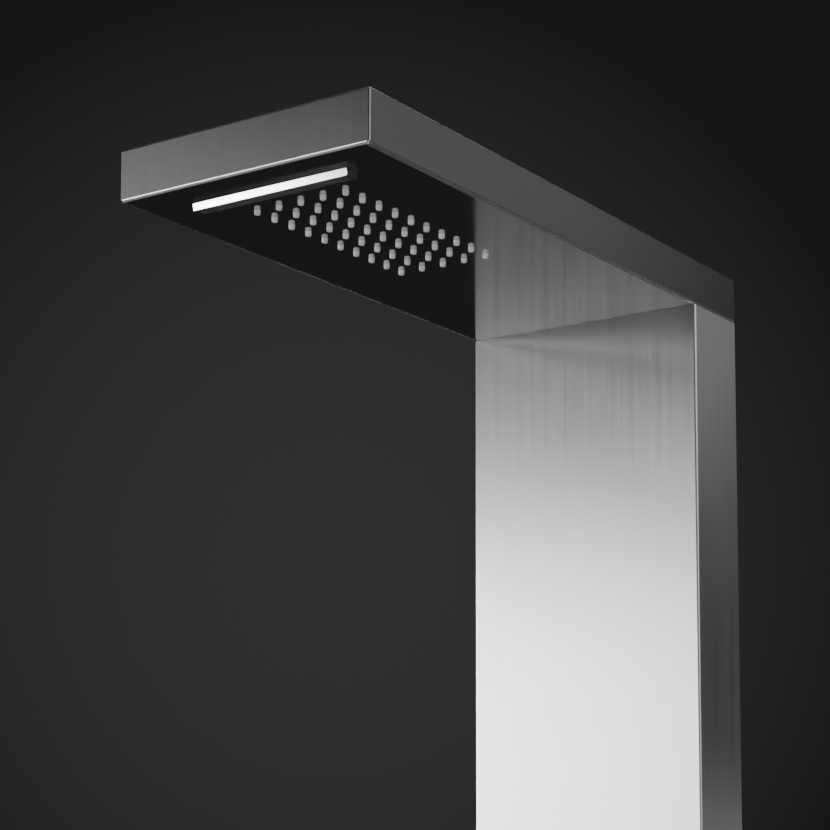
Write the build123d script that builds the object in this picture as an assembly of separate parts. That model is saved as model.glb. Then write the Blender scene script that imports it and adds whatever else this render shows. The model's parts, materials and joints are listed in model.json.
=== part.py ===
from build123d import *
import os
from math import radians, tan

# Wall-hung rainfall shower column in folded stainless sheet, in millimetres.
# Frame: the wall is the plane Y = 0 and the column stands in front of it, towards -Y.
# +X is to the right when facing the wall, +Z is up.
# The origin is on the wall, in the middle of the four wall screws.

# ---- driving dimensions -------------------------------------------------------------------
width = 200.0  # column and head
column_depth = 68.0
head_length = 488.0
head_height = 35.0
sheet = 1.2
fold = 2.0  # outer radius of every fold
column_bottom = -620.0
column_top = 745.0  # also the underside of the head
screw_spacing_x = 120.0
screw_spacing_z = 1000.0

half = width / 2
head_top = column_top + head_height
front = -column_depth  # outer face of the column
inner_front = front + sheet
nose = -head_length  # outer face of the head's front
seam = 0.2  # gap between two sheets that butt
plate_top = column_top + sheet

# rain field: nozzles through the underside plate
rain_columns = 5
rain_rows = 10
rain_pitch_x = 18.0
rain_pitch_y = 18.2
rain_rear_row = -262.0
nozzle_radius = 2.2
nozzle_taper = 0.38
nozzle_drop = 2.9
mat_thickness = 1.5

# waterfall lip
lip_front = -460.0
lip_depth = 11.0
lip_width = 124.0
lip_drop = 4.5
lip_lean = 0.8  # how far the lip's front wall runs back over its drop

# valves, both on the column's centre line
mixer_z = -290.0
diverter_z = -150.0
valve_axis_y = -28.0  # the cross bores and the side arms
chamber_radius = 22.0
bore_radius = 18.0
port_radius = 10.478  # half-inch pipe thread, major radius
inlet_x = 50.0

# body sprays
spray_heights = (20.0, 190.0)
barrel_axis_y = -58.0
barrel_radius = 17.0
barrel_half = 62.0
barrel_flat = 12.0  # from the axis to the flat front
spray_gap = 0.4

# hoses inside the casing
hose_radius = 7.0
hose_bore = 5.0
tail_bore = 3.4
riser_x = 76.0
riser_y = -28.0
head_hose_z = column_top + 12.5


# ---- small helpers ------------------------------------------------------------------------
def block(x0, x1, y0, y1, z0, z1):
    """A box between two corners."""
    centre = Pos((x0 + x1) / 2, (y0 + y1) / 2, (z0 + z1) / 2)
    return centre * Box(x1 - x0, y1 - y0, z1 - z0)


def rod_x(radius, x0, x1, y, z):
    """A round bar along X."""
    return Pos((x0 + x1) / 2, y, z) * Rot(0, 90, 0) * Cylinder(radius, x1 - x0)


def rod_y(radius, y0, y1, x, z):
    """A round bar along Y."""
    return Pos(x, (y0 + y1) / 2, z) * Rot(90, 0, 0) * Cylinder(radius, y1 - y0)


def rod_z(radius, z0, z1, x, y):
    """A round bar along Z."""
    return Pos(x, y, (z0 + z1) / 2) * Cylinder(radius, z1 - z0)


def hex_z(across, z0, z1, x, y):
    """A hexagonal bar along Z, by its width across flats."""
    outline = RegularPolygon(across / 2, 6, major_radius=False)
    return Pos(x, y, z0) * extrude(outline, z1 - z0)


def hex_y(across, y0, y1, x, z):
    """A hexagonal bar along Y, by its width across flats."""
    outline = RegularPolygon(across / 2, 6, major_radius=False)
    return Pos(x, y1, z) * Rot(90, 0, 0) * extrude(outline, y1 - y0)


def hose(points, radii):
    """A flexible tube along straight runs joined by tangent arcs."""
    if radii:
        path = FilletPolyline(*points, radius=radii)
    else:
        path = Line(points[0], points[1])
    start = Plane(origin=path @ 0, z_dir=path % 0)
    outer = sweep(start * Circle(hose_radius), path)
    inner = sweep(start * Circle(hose_bore), path)
    return outer - inner


def barb(axis, start, length, at):
    """A hose tail with two ridges, along +X, -X, +Y, +Z or -Z from start."""
    body = Cylinder(hose_bore, length, align=(Align.CENTER, Align.CENTER, Align.MIN))
    body -= Cylinder(tail_bore, length, align=(Align.CENTER, Align.CENTER, Align.MIN))
    turn = {
        "+X": Rot(0, 90, 0),
        "-X": Rot(0, -90, 0),
        "+Y": Rot(-90, 0, 0),
        "+Z": Rot(0, 0, 0),
        "-Z": Rot(180, 0, 0),
    }[axis]
    x, y, z = at
    place = {
        "+X": Pos(start, y, z),
        "-X": Pos(start, y, z),
        "+Y": Pos(x, start, z),
        "+Z": Pos(x, y, start),
        "-Z": Pos(x, y, start),
    }[axis]
    return place * turn * body


def hose_clamp(axis, centre):
    """A worm-drive band round a hose end, with its screw housing."""
    inner, outer, wide = hose_radius, hose_radius + 0.9, 7.0
    band = Cylinder(outer, wide) - Cylinder(inner, wide)
    band += Pos(outer + 1.2, 0, 0) * Box(3.6, 8.0, wide)
    band -= Cylinder(inner, wide)
    turn = {"X": Rot(0, 90, 0), "Y": Rot(90, 0, 0), "Z": Rot(0, 0, 0)}[axis]
    return Pos(*centre) * turn * band


def stud(x, y0, y1, z):
    """A weld stud along Y."""
    return rod_y(2.0, y0, y1, x, z)


def nut_y(x, y0, z):
    """An M4 nut on a stud along Y, its low face at y0."""
    return hex_y(7.0, y0, y0 + 3.2, x, z) - rod_y(2.0, y0, y0 + 3.2, x, z)


def nut_z(x, y, z0):
    """An M4 nut on a stud along Z, its low face at z0."""
    return hex_z(7.0, z0, z0 + 3.2, x, y) - rod_z(2.0, z0, z0 + 3.2, x, y)


def save(name, shape):
    """Writes one node. A list of solids becomes one group."""
    if isinstance(shape, list):
        shape = Compound(children=[solid for item in shape for solid in item.solids()])
    export_step(shape, f"parts/{name}.step")


# ---- column casing ------------------------------------------------------------------------
flange = 16.0  # width of the casing's edge against the wall
panel_hole = 23.5  # radius of the valve holes in the front
spray_cut = (63.5, 15.6)  # half width and half height of a spray opening
side_start = front + 2 * fold  # where the flat sides take over from the bends


def column_front():
    """The front of the folded casing with both of its bends, cut out for valves and sprays."""
    outer = block(-half, half, front, side_start, column_bottom, column_top)
    outer = fillet(outer.edges().filter_by(Axis.Z).group_by(Axis.Y)[0], fold)
    inner = block(-half + sheet, half - sheet, inner_front, side_start, column_bottom, column_top)
    inner = fillet(inner.edges().filter_by(Axis.Z).group_by(Axis.Y)[0], fold - sheet - 0.05)
    shell = outer - inner
    for z in (mixer_z, diverter_z):
        shell -= rod_y(panel_hole, front, inner_front, 0, z)
    wide, tall = spray_cut
    for z in spray_heights:
        shell -= block(-wide, wide, front, inner_front, z - tall, z + tall)
    return shell


def column_sides():
    """The two sides of the casing, from the bends back to the wall."""
    sides = []
    for s in (-1, 1):
        inner, outer = sorted((s * (half - sheet), s * half))
        sides.append(block(inner, outer, side_start, 0, column_bottom, column_top))
    return sides


def return_flanges():
    """The narrow strips that stiffen the casing's rear edges and bear on the wall."""
    strips = []
    for s in (-1, 1):
        inner, outer = sorted((s * (half - flange), s * (half - sheet)))
        strips.append(block(inner, outer, -sheet, 0, column_bottom, column_top))
    return strips


cap_cut_x = 70.0
cap_cut_depth = 44.0


def base_cap():
    """The folded bottom of the column, cut out at the wall for the supply hoses."""
    side = half - sheet - 0.1
    face = inner_front + 0.1
    top = column_bottom + 12.0
    cap = block(-side, side, face, -sheet - 0.1, column_bottom, top)
    cap = fillet(cap.edges().filter_by(Axis.Z).group_by(Axis.Y)[0], fold - sheet + 0.4)
    cap -= block(-side + sheet, side - sheet, face + sheet, 0, column_bottom + sheet, top)
    cap -= block(-cap_cut_x, cap_cut_x, -cap_cut_depth, 0, column_bottom, top)
    return cap


def hanger_bar(z):
    """A crossbar welded between the sides, with a lip that drops behind the wall hook."""
    side = half - sheet
    bar = block(-side, side, -14.0, -12.0, z - 6.0, z + 22.0)
    bar += block(-side, side, -12.0, -6.0, z + 20.0, z + 22.0)
    bar += block(-side, side, -8.0, -6.0, z + 8.0, z + 22.0)
    for s in (-1, 1):
        inner, outer = sorted((s * side, s * (side - 2.0)))
        bar += block(inner, outer, -34.0, -12.0, z - 6.0, z + 22.0)
    return bar


def wall_bracket(z):
    """A hook plate for the wall: two screw holes and an upturned lip."""
    plate = block(-78.0, 78.0, -2.0, 0, z - 20.0, z + 12.0)
    plate += block(-78.0, 78.0, -11.0, 0, z + 4.0, z + 6.0)
    plate += block(-78.0, 78.0, -11.0, -9.0, z + 4.0, z + 20.0)
    for x in (-screw_spacing_x / 2, screw_spacing_x / 2):
        plate -= rod_y(3.25, -12.0, 0, x, z)
        plate -= rod_y(7.5, -12.0, -2.0, x, z)
    return plate


neck_screw_places = [(x, y) for x in (-90.0, 90.0) for y in (-57.0, -34.0, -11.0)]
neck_opening = (84.5, -52.0, -14.0)  # half width, front and rear of the hose passage


def neck_frame():
    """An angle ring inside the top of the column that the head is screwed down to."""
    x, y0, y1 = half - sheet, inner_front, -sheet
    ring = block(-x, x, y0, y1, column_top - 20.0, column_top)
    ring = fillet(ring.edges().filter_by(Axis.Z).group_by(Axis.Y)[0], fold - sheet + 0.4)
    ring -= block(-x + 2.0, x - 2.0, y0 + 2.0, y1 - 2.0, column_top - 20.0, column_top - 2.0)
    wide, low, high = neck_opening
    ring -= block(-wide, wide, low, high, column_top - 2.0, column_top)
    for px, py in neck_screw_places:
        ring -= rod_z(2.0, column_top - 2.0, column_top, px, py)
    return ring


def neck_screws():
    """Six M4 screws that tie the head down on the neck frame."""
    screws = []
    for x, y in neck_screw_places:
        shank = rod_z(2.0, column_top - 8.0, plate_top, x, y)
        head = rod_z(3.6, plate_top, plate_top + 2.4, x, y)
        socket = hex_z(2.5, plate_top + 1.0, plate_top + 2.4, x, y)
        screws.append(shank + head - socket)
    return screws


# ---- head ---------------------------------------------------------------------------------
def head_shell():
    """Top, front, sides and rear of the head, with its lower edges rolled inwards."""
    outer = block(-half, half, nose, 0, column_top, head_top)
    outer = fillet(outer.edges().filter_by(Axis.Z).group_by(Axis.Y)[0], fold)
    rolled = outer.faces().sort_by(Axis.Z)[-1].edges()
    lower = outer.faces().sort_by(Axis.Z)[0].edges().sort_by(Axis.Y)[:-1]
    outer = fillet(list(rolled) + list(lower), fold - 0.05)
    inner = block(-half + sheet, half - sheet, nose + sheet, -sheet, plate_top, head_top - sheet)
    inner = fillet(inner.edges().filter_by(Axis.Z).group_by(Axis.Y)[0], fold - sheet)
    shell = outer - inner
    mouth = half - fold - seam
    shell -= block(-mouth, mouth, nose + fold + seam, -sheet, column_top, plate_top)
    for x in (-half, half):  # relief notches where three folds meet
        shell -= rod_z(1.0, column_top, column_top + 1.6, x * 0.9925, nose + 0.75)
    return shell


def rain_places():
    """Centres of the rain nozzles."""
    middle = (rain_columns - 1) / 2
    return [
        ((i - middle) * rain_pitch_x, rain_rear_row - j * rain_pitch_y)
        for j in range(rain_rows)
        for i in range(rain_columns)
    ]


def head_plate():
    """The polished underside: nozzle holes, the waterfall slot and the hose passage."""
    side = half - fold - 2 * seam
    plate = block(-side, side, nose + fold + 2 * seam, -sheet - seam, column_top, plate_top)
    for x, y in rain_places():
        plate -= rod_z(nozzle_radius + 0.25, column_top, plate_top, x, y)
    slot = lip_width / 2 + 0.2
    plate -= block(-slot, slot, lip_front - 0.2, lip_front + lip_depth + 0.2, column_top, plate_top)
    wide, low, high = neck_opening
    plate -= block(-wide, wide, low, high, column_top, plate_top)
    for x, y in neck_screw_places:
        plate -= rod_z(2.0, column_top, plate_top, x, y)
    wall = block(-side, side, -sheet - seam - sheet, -sheet - seam, column_top, plate_top + 9.0)
    for s in (-1, 1):
        inner, outer = sorted((s * side, s * (side - sheet)))
        wall += block(inner, outer, nose + 6.0, -sheet - seam, column_top, plate_top + 9.0)
    return plate + wall


mat_x = 45.0
mat_front = rain_rear_row - (rain_rows - 1) * rain_pitch_y - 8.0
mat_rear = rain_rear_row + 8.0
mat_top = plate_top + mat_thickness


def nozzle_mat():
    """The silicone mat with its fifty nozzles, each with a fine jet hole."""
    mat = block(-mat_x, mat_x, mat_front, mat_rear, plate_top, mat_top)
    tip = column_top - nozzle_drop
    grow = []
    for x, y in rain_places():
        stem = rod_z(nozzle_radius, column_top - 0.6, plate_top, x, y)
        taper = Pos(x, y, tip) * Cone(
            nozzle_radius - nozzle_taper,
            nozzle_radius,
            nozzle_drop - 0.6,
            align=(Align.CENTER, Align.CENTER, Align.MIN),
        )
        grow.append(stem + taper)
    mat += grow
    mat -= [rod_z(0.7, tip, mat_top, x, y) for x, y in rain_places()]
    return mat


rain_wall = 2.5
rain_x = 50.0
rain_front = mat_front - 5.0
rain_rear = mat_rear + 6.0
rain_top = plate_top + 18.0
rain_tail_x = -36.0
rain_stud_places = [
    (s * 57.0, y) for s in (-1, 1) for y in (rain_front + 20.0, (rain_front + rain_rear) / 2, rain_rear - 20.0)
]


def rain_chamber():
    """The moulded water box over the nozzle mat, with side ears and one hose tail."""
    box = block(-rain_x, rain_x, rain_front, rain_rear, plate_top, rain_top)
    box -= block(-mat_x, mat_x, mat_front, mat_rear, plate_top, mat_top)
    w = rain_wall + 2.5
    box -= block(
        -rain_x + w, rain_x - w, rain_front + w, rain_rear - w, mat_top, rain_top - rain_wall
    )
    for x, y in rain_stud_places:
        inner, outer = sorted((x - 7.0 if x > 0 else x + 7.0, x + 6.0 if x > 0 else x - 6.0))
        box += block(inner, outer, y - 6.0, y + 6.0, plate_top, plate_top + 4.0)
        box -= rod_z(2.1, plate_top, plate_top + 4.0, x, y)
    for x in (-24.0, 0.0, 24.0):
        box += block(x - 1.0, x + 1.0, rain_front + 4.0, rain_rear - 4.0, rain_top, rain_top + 2.0)
    box -= rod_y(tail_bore, rain_rear - w - 1.0, rain_rear, rain_tail_x, head_hose_z)
    return box + barb("+Y", rain_rear, 16.0, (rain_tail_x, 0, head_hose_z))


fall_x = 84.0
fall_front = lip_front - 12.0
fall_rear = lip_front + lip_depth + 8.0
fall_top = plate_top + 20.0
fall_stud_places = [(s * 73.0, y) for s in (-1, 1) for y in (fall_front + 6.0,)]
lip_flange = 1.2


def waterfall_lip():
    """The polished spout: a flange inside the head and a straight box that drops through the slot."""
    w, t = lip_width / 2, 1.0
    y0, y1 = lip_front, lip_front + lip_depth
    z0, z1 = column_top - lip_drop, plate_top
    section = Polyline(
        (y0, z1), (y0, column_top), (y0 + lip_lean, z0), (y1, z0), (y1, z1), close=True
    )
    spout = Pos(-w, 0, 0) * extrude(Plane.YZ * make_face(section), lip_width)
    ring = block(-w - 5.0, w + 5.0, y0 - 4.0, y1 + 4.0, z1, z1 + lip_flange)
    hollow = Polyline(
        (y0 + t, z1 + lip_flange),
        (y0 + t, column_top),
        (y0 + lip_lean + t, z0),
        (y1 - t, z0),
        (y1 - t, z1 + lip_flange),
        close=True,
    )
    slot = Pos(-w + 2.0, 0, 0) * extrude(Plane.YZ * make_face(hollow), lip_width - 4.0)
    return spout + ring - slot


def waterfall_chamber():
    """The moulded box that spreads the water over the whole lip."""
    low = plate_top
    box = block(-fall_x, fall_x, fall_front, fall_rear, low, fall_top)
    w = lip_width / 2
    y0, y1 = lip_front, lip_front + lip_depth
    box -= block(-w - 5.0, w + 5.0, y0 - 4.0, y1 + 4.0, low, low + lip_flange)
    box -= block(-w + 2.0, w - 2.0, fall_front + 3.0, fall_rear - 3.0, low + 6.0, fall_top - 2.5)
    box -= block(-w + 2.0, w - 2.0, y0 + 1.0, y1 - 1.0, low, low + 6.0)
    for x, y in fall_stud_places:
        box -= rod_z(2.1, low, fall_top, x, y)
        box -= block(x - 6.0, x + 6.0, fall_front, y + 6.0, low + 4.0, fall_top)
    tail = barb("+Y", fall_rear, 16.0, (riser_x, 0, head_hose_z))
    box -= rod_y(tail_bore, fall_rear - 10.0, fall_rear, riser_x, head_hose_z)
    box -= rod_x(3.0, w - 4.0, riser_x + 3.0, fall_rear - 8.0, head_hose_z)
    return box + tail


def head_studs():
    """Weld studs on the inside of the underside plate."""
    places = rain_stud_places + fall_stud_places
    return [rod_z(2.0, plate_top, plate_top + 10.0, x, y) for x, y in places]


def head_nuts():
    """Nuts that hold both water boxes down on the plate."""
    return [nut_z(x, y, plate_top + 4.0) for x, y in rain_stud_places + fall_stud_places]


# ---- valves -------------------------------------------------------------------------------
valve_front = inner_front
chamber_rear = -12.0
bore_floor = -34.0
valve_stud_x = 27.0


def valve_core():
    """What both brass bodies share: chamber, panel flange and stud ears."""
    body = rod_y(chamber_radius, valve_front, chamber_rear, 0, 0)
    ears = block(-33.0, 33.0, valve_front, valve_front + 3.0, -8.0, 8.0)
    body += fillet(ears.edges().filter_by(Axis.Y), 6.0)
    return body


def cut_core(body):
    """Bores the cartridge seat and the stud holes."""
    body -= rod_y(bore_radius, valve_front, bore_floor, 0, 0)
    for x in (-valve_stud_x, valve_stud_x):
        body -= rod_y(2.1, valve_front, valve_front + 3.0, x, 0)
    return body


def mixer_body():
    """Hot inlet left, cold inlet right, mixed water out at the top."""
    y = valve_axis_y
    body = valve_core() + rod_x(11.0, -inlet_x, inlet_x, y, 0)
    for x in (-inlet_x, inlet_x):
        body += Pos(x, y, 0) * Sphere(13.0)
        body += rod_z(11.5, -18.0, 0, x, y)
        body += hex_z(24.0, -26.0, -18.0, x, y)
        body += rod_z(port_radius, -40.0, -26.0, x, y)
    body += rod_z(11.0, 0, 30.0, 0, y)
    body = cut_core(body)
    for s in (-1, 1):
        body -= rod_x(6.0, *sorted((s * 9.0, s * inlet_x)), y + 1.0, 0)
        body -= rod_z(6.5, -40.0, 2.0, s * inlet_x, y)
        body -= rod_y(4.0, bore_floor, y + 1.0, s * 10.0, 0)
    body -= rod_z(5.5, 6.0, 30.0, 0, y)
    body -= rod_y(4.0, bore_floor, y + 1.0, 0, 12.0)
    return Pos(0, 0, mixer_z) * body


def diverter_body():
    """Water in from below; waterfall left, rain right, body sprays at the top."""
    y = valve_axis_y
    body = valve_core() + rod_z(11.0, -30.0, -12.0, 0, y) + rod_z(9.0, 12.0, 28.0, 0, y)
    body += rod_x(9.0, 12.0, 32.0, y, 0) + rod_x(9.0, -32.0, -12.0, y, 0)
    body += barb("+X", 32.0, 16.0, (0, y, 0)) + barb("-X", -32.0, 16.0, (0, y, 0))
    body += barb("+Z", 28.0, 16.0, (0, y, 0))
    body = cut_core(body)
    body -= rod_z(5.5, -30.0, -8.0, 0, y)
    body -= rod_y(4.0, bore_floor, y + 1.0, 0, -11.0)
    for s in (-1, 1):
        body -= rod_x(tail_bore, *sorted((s * 7.0, s * 32.0)), y, 0)
        body -= rod_y(3.0, bore_floor, y + 1.0, s * 11.0, 0)
    body -= rod_z(tail_bore, 7.0, 28.0, 0, y)
    body -= rod_y(3.0, bore_floor, y + 1.0, 0, 11.0)
    return Pos(0, 0, diverter_z) * body


seal_front = bore_floor - 1.5
fixed_front = seal_front - 4.0
moving_front = fixed_front - 4.0
stem_radius = 5.0
stem_front = -94.0
cup_front = -52.0


def valve_seal():
    """The rubber seal on the bore's floor, with the four port openings."""
    seal = rod_y(15.4, seal_front, bore_floor, 0, 0)
    for x, z in ((10.5, 0), (-10.5, 0), (0, 11.5), (0, -11.5)):
        seal -= rod_y(3.6, seal_front, bore_floor, x, z)
    return seal


def fixed_disc():
    """The ceramic disc that stays still."""
    disc = rod_y(15.0, fixed_front, seal_front, 0, 0)
    for x, z in ((10.0, 0), (-10.0, 0), (0, 10.5), (0, -10.5)):
        disc -= rod_y(3.2, fixed_front, seal_front, x, z)
    return disc


def moving_disc():
    """The ceramic disc that turns with the stem; its pocket joins two ports."""
    disc = rod_y(14.6, moving_front, fixed_front, 0, 0)
    disc -= block(-5.0, 12.5, fixed_front - 2.0, fixed_front, -4.0, 4.0)
    disc -= block(-4.0, 4.0, fixed_front - 2.0, fixed_front, -4.0, 12.5)
    return disc


def cartridge_cup():
    """The plastic housing that holds the discs and guides the stem."""
    cup = rod_y(bore_radius - 0.1, cup_front, seal_front, 0, 0)
    cup -= rod_y(15.1, cup_front + 4.0, seal_front, 0, 0)
    cup += rod_y(9.0, cup_front - 10.0, cup_front, 0, 0)
    cup -= rod_y(stem_radius + 0.05, cup_front - 10.0, cup_front + 4.0, 0, 0)
    return cup


def valve_stem():
    """The brass stem: a driving flange on the disc and a splined end for the knob."""
    stem = rod_y(14.4, moving_front - 3.5, moving_front, 0, 0)
    stem += rod_y(stem_radius, stem_front, moving_front, 0, 0)
    for k in range(12):
        groove = Pos(stem_radius, 0, 0) * Cylinder(0.45, 14.0)
        cutter = Rot(0, 0, 30 * k) * groove
        stem -= Pos(0, stem_front + 7.0, 0) * Rot(90, 0, 0) * cutter
    return stem


def bonnet_nut():
    """The ring nut that presses the cartridge home."""
    nut = rod_y(bore_radius - 0.05, valve_front, cup_front, 0, 0)
    nut += hex_y(36.0, valve_front - 3.2, valve_front, 0, 0)
    return nut - rod_y(9.4, valve_front - 3.2, cup_front, 0, 0)


trim_half = 36.0
trim_face = front - 5.0


def trim_plate():
    """The square cover round a knob, hollow over the nut."""
    plate = block(-trim_half, trim_half, trim_face, front, -trim_half, trim_half)
    plate = fillet(plate.edges().filter_by(Axis.Y), 5.0)
    plate = chamfer(plate.faces().sort_by(Axis.Y)[0].edges(), 0.8)
    plate -= rod_y(22.6, front - 3.0, front, 0, 0)
    return plate - rod_y(11.5, trim_face, front, 0, 0)


knob_rear = trim_face - 1.0
knob_front = knob_rear - 24.0
knob_radius = 23.0
lever_reach = 58.0


def knob():
    """A turned knob with a flat lever bar, bored for the stem and the grub screw."""
    body = rod_y(knob_radius, knob_front, knob_rear, 0, 0)
    body = fillet(body.edges().sort_by(Axis.Y)[0], 2.0)
    lever = block(-5.5, 5.5, knob_front + 3.0, knob_front + 12.0, 0, lever_reach)
    lever = fillet(lever.edges().filter_by(Axis.Y).group_by(Axis.Z)[-1], 5.0)
    lever = chamfer(lever.faces().sort_by(Axis.Y)[0].edges(), 0.8)
    body += lever
    body -= rod_y(9.8, knob_rear - 3.0, knob_rear, 0, 0)
    body -= rod_y(stem_radius, stem_front, knob_rear, 0, 0)
    body -= rod_z(2.0, -knob_radius, 0, 0, knob_rear - 9.0)
    body -= rod_y(6.0, knob_front, knob_front + 1.0, 0, 0)
    return body


def grub_screw():
    """The set screw that grips the stem."""
    screw = rod_z(2.0, -14.0, -stem_radius, 0, knob_rear - 9.0)
    return screw - hex_z(2.0, -14.0, -11.5, 0, knob_rear - 9.0)


def index_cap():
    """The small inlay in the middle of the knob's face."""
    return rod_y(6.0, knob_front - 0.3, knob_front + 1.0, 0, 0)


link_low = mixer_z + 30.0
link_high = diverter_z - 30.0


def link_pipe():
    """The short pipe from the mixer up to the diverter."""
    pipe = rod_z(8.0, link_low, link_high, 0, valve_axis_y)
    return pipe - rod_z(6.0, link_low, link_high, 0, valve_axis_y)


def union_nuts():
    """The two nuts that seal the link pipe."""
    nuts = []
    for low, high in ((link_low - 5.0, link_low + 9.0), (link_high - 9.0, link_high + 5.0)):
        nut = hex_z(27.0, low, high, 0, valve_axis_y)
        nut -= rod_z(8.0, low, high, 0, valve_axis_y)
        boss = (low, link_low) if low < link_low else (link_high, high)
        nuts.append(nut - rod_z(11.0, *boss, 0, valve_axis_y))
    return nuts


# ---- body sprays --------------------------------------------------------------------------
housing_half = 70.0
housing_rear = -34.0
housing_tall = 23.0
spray_stud_x = 75.0
spray_stud_z = 16.0
spray_tail_y = -43.5
pin_radius = 3.0


def spray_housing(z, passes_on):
    """The moulded box behind a spray bar; the lower one passes water on to the next."""
    tall = housing_tall
    box = block(-housing_half, housing_half, inner_front, housing_rear, -tall, tall)
    box += block(-80.0, 80.0, inner_front, inner_front + 3.0, -tall, tall)
    cavity = barrel_half + spray_gap
    bowl = barrel_radius + spray_gap
    box -= rod_x(bowl, -cavity, cavity, barrel_axis_y, 0)
    box -= block(-cavity, cavity, inner_front, barrel_axis_y, -bowl, bowl)
    box -= rod_x(pin_radius + 0.05, -housing_half, housing_half, barrel_axis_y, 0)
    for x in (-spray_stud_x, spray_stud_x):
        for h in (-spray_stud_z, spray_stud_z):
            box -= rod_y(2.1, inner_front, inner_front + 3.0, x, h)
    box -= rod_z(tail_bore, -tall, tall if passes_on else 0, 0, spray_tail_y)
    box += barb("-Z", -tall, 16.0, (0, spray_tail_y, 0))
    if passes_on:
        box += barb("+Z", tall, 16.0, (0, spray_tail_y, 0))
    return Pos(0, 0, z) * box


def spray_nozzle_places():
    """Two rows of ten nozzles across a bar's flat front."""
    return [((i - 4.5) * 11.6, h) for h in (-5.0, 5.0) for i in range(10)]


def spray_bar(z):
    """The hollow barrel that tilts: flat front, closed ends, a water slot at the rear."""
    y = barrel_axis_y
    bar = rod_x(barrel_radius, -barrel_half, barrel_half, y, 0)
    bar -= block(-barrel_half, barrel_half, y - barrel_radius, y - barrel_flat, -20.0, 20.0)
    bar -= rod_x(barrel_radius - 8.0, -barrel_half + 4.0, barrel_half - 4.0, y, 0)
    bar -= block(-barrel_half + 6.0, barrel_half - 6.0, y, y + barrel_radius, -4.0, 4.0)
    for x, h in spray_nozzle_places():
        bar -= rod_y(1.8, y - barrel_flat, y, x, h)
    for s in (-1, 1):
        bar += rod_x(pin_radius, *sorted((s * barrel_half, s * (barrel_half + 7.0))), y, 0)
    return Pos(0, 0, z) * bar


def spray_nozzles(z):
    """Twenty silicone nozzles in the bar's front."""
    y = barrel_axis_y
    tips = []
    for x, h in spray_nozzle_places():
        tip = rod_y(1.8, y - barrel_flat - 2.0, y - barrel_flat + 4.0, x, h)
        tip -= rod_y(0.6, y - barrel_flat - 2.0, y - barrel_flat + 4.0, x, h)
        tips.append(Pos(0, 0, z) * tip)
    return tips


def spray_bezel(z):
    """The steel frame round a spray bar on the column's front."""
    frame = block(-74.0, 74.0, front - 3.0, front, -26.0, 26.0)
    frame = fillet(frame.edges().filter_by(Axis.Y), 3.0)
    frame = chamfer(frame.faces().sort_by(Axis.Y)[0].edges(), 0.8)
    frame -= block(-62.8, 62.8, front - 3.0, front, -14.8, 14.8)
    return Pos(0, 0, z) * frame


# ---- fasteners on the front panel ---------------------------------------------------------
def panel_stud_places():
    """Weld studs behind the front: two at each valve and four at each spray bar."""
    places = [(x, z) for z in (mixer_z, diverter_z) for x in (-valve_stud_x, valve_stud_x)]
    for z in spray_heights:
        for x in (-spray_stud_x, spray_stud_x):
            places += [(x, z - spray_stud_z), (x, z + spray_stud_z)]
    return places


def panel_studs():
    """Short M4 studs welded to the inside of the front."""
    return [stud(x, inner_front, inner_front + 9.0, z) for x, z in panel_stud_places()]


def panel_nuts():
    """Their nuts."""
    return [nut_y(x, inner_front + 3.0, z) for x, z in panel_stud_places()]


# ---- hoses --------------------------------------------------------------------------------
def waterfall_hose():
    """From the diverter's right outlet up to the waterfall box at the nose."""
    y, top = riser_y, head_hose_z
    route = [
        (34.0, y, diverter_z),
        (riser_x, y, diverter_z),
        (riser_x, y, top),
        (riser_x, fall_rear + 2.0, top),
    ]
    return hose(route, [24.0, 22.0])


def rain_hose():
    """From the diverter's left outlet up to the rain box."""
    y, top = riser_y, head_hose_z
    route = [
        (-34.0, y, diverter_z),
        (-riser_x, y, diverter_z),
        (-riser_x, y, top),
        (-riser_x, -120.0, top),
        (rain_tail_x, -190.0, top),
        (rain_tail_x, rain_rear + 2.0, top),
    ]
    return hose(route, [24.0, 22.0, 40.0, 40.0])


def spray_feed_hose():
    """From the top of the diverter to the lower spray bar."""
    low = diverter_z + 30.0
    high = spray_heights[0] - housing_tall - 2.0
    middle = (low + high) / 2
    route = [
        (0, riser_y, low),
        (0, riser_y, middle - 12.0),
        (0, spray_tail_y, middle + 20.0),
        (0, spray_tail_y, high),
    ]
    return hose(route, [30.0, 30.0])


def spray_link_hose():
    """From the lower spray bar to the upper one."""
    low = spray_heights[0] + housing_tall + 2.0
    high = spray_heights[1] - housing_tall - 2.0
    return hose([(0, spray_tail_y, low), (0, spray_tail_y, high)], None)


def hose_clamps():
    """One worm-drive clamp on every hose tail."""
    tail = spray_tail_y
    spots = [
        ("X", (42.0, riser_y, diverter_z)),
        ("X", (-42.0, riser_y, diverter_z)),
        ("Z", (0, riser_y, diverter_z + 38.0)),
        ("Z", (0, tail, spray_heights[0] - housing_tall - 9.0)),
        ("Z", (0, tail, spray_heights[0] + housing_tall + 9.0)),
        ("Z", (0, tail, spray_heights[1] - housing_tall - 9.0)),
        ("Y", (riser_x, fall_rear + 9.0, head_hose_z)),
        ("Y", (rain_tail_x, rain_rear + 9.0, head_hose_z)),
    ]
    return [hose_clamp(axis, centre) for axis, centre in spots]


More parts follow.
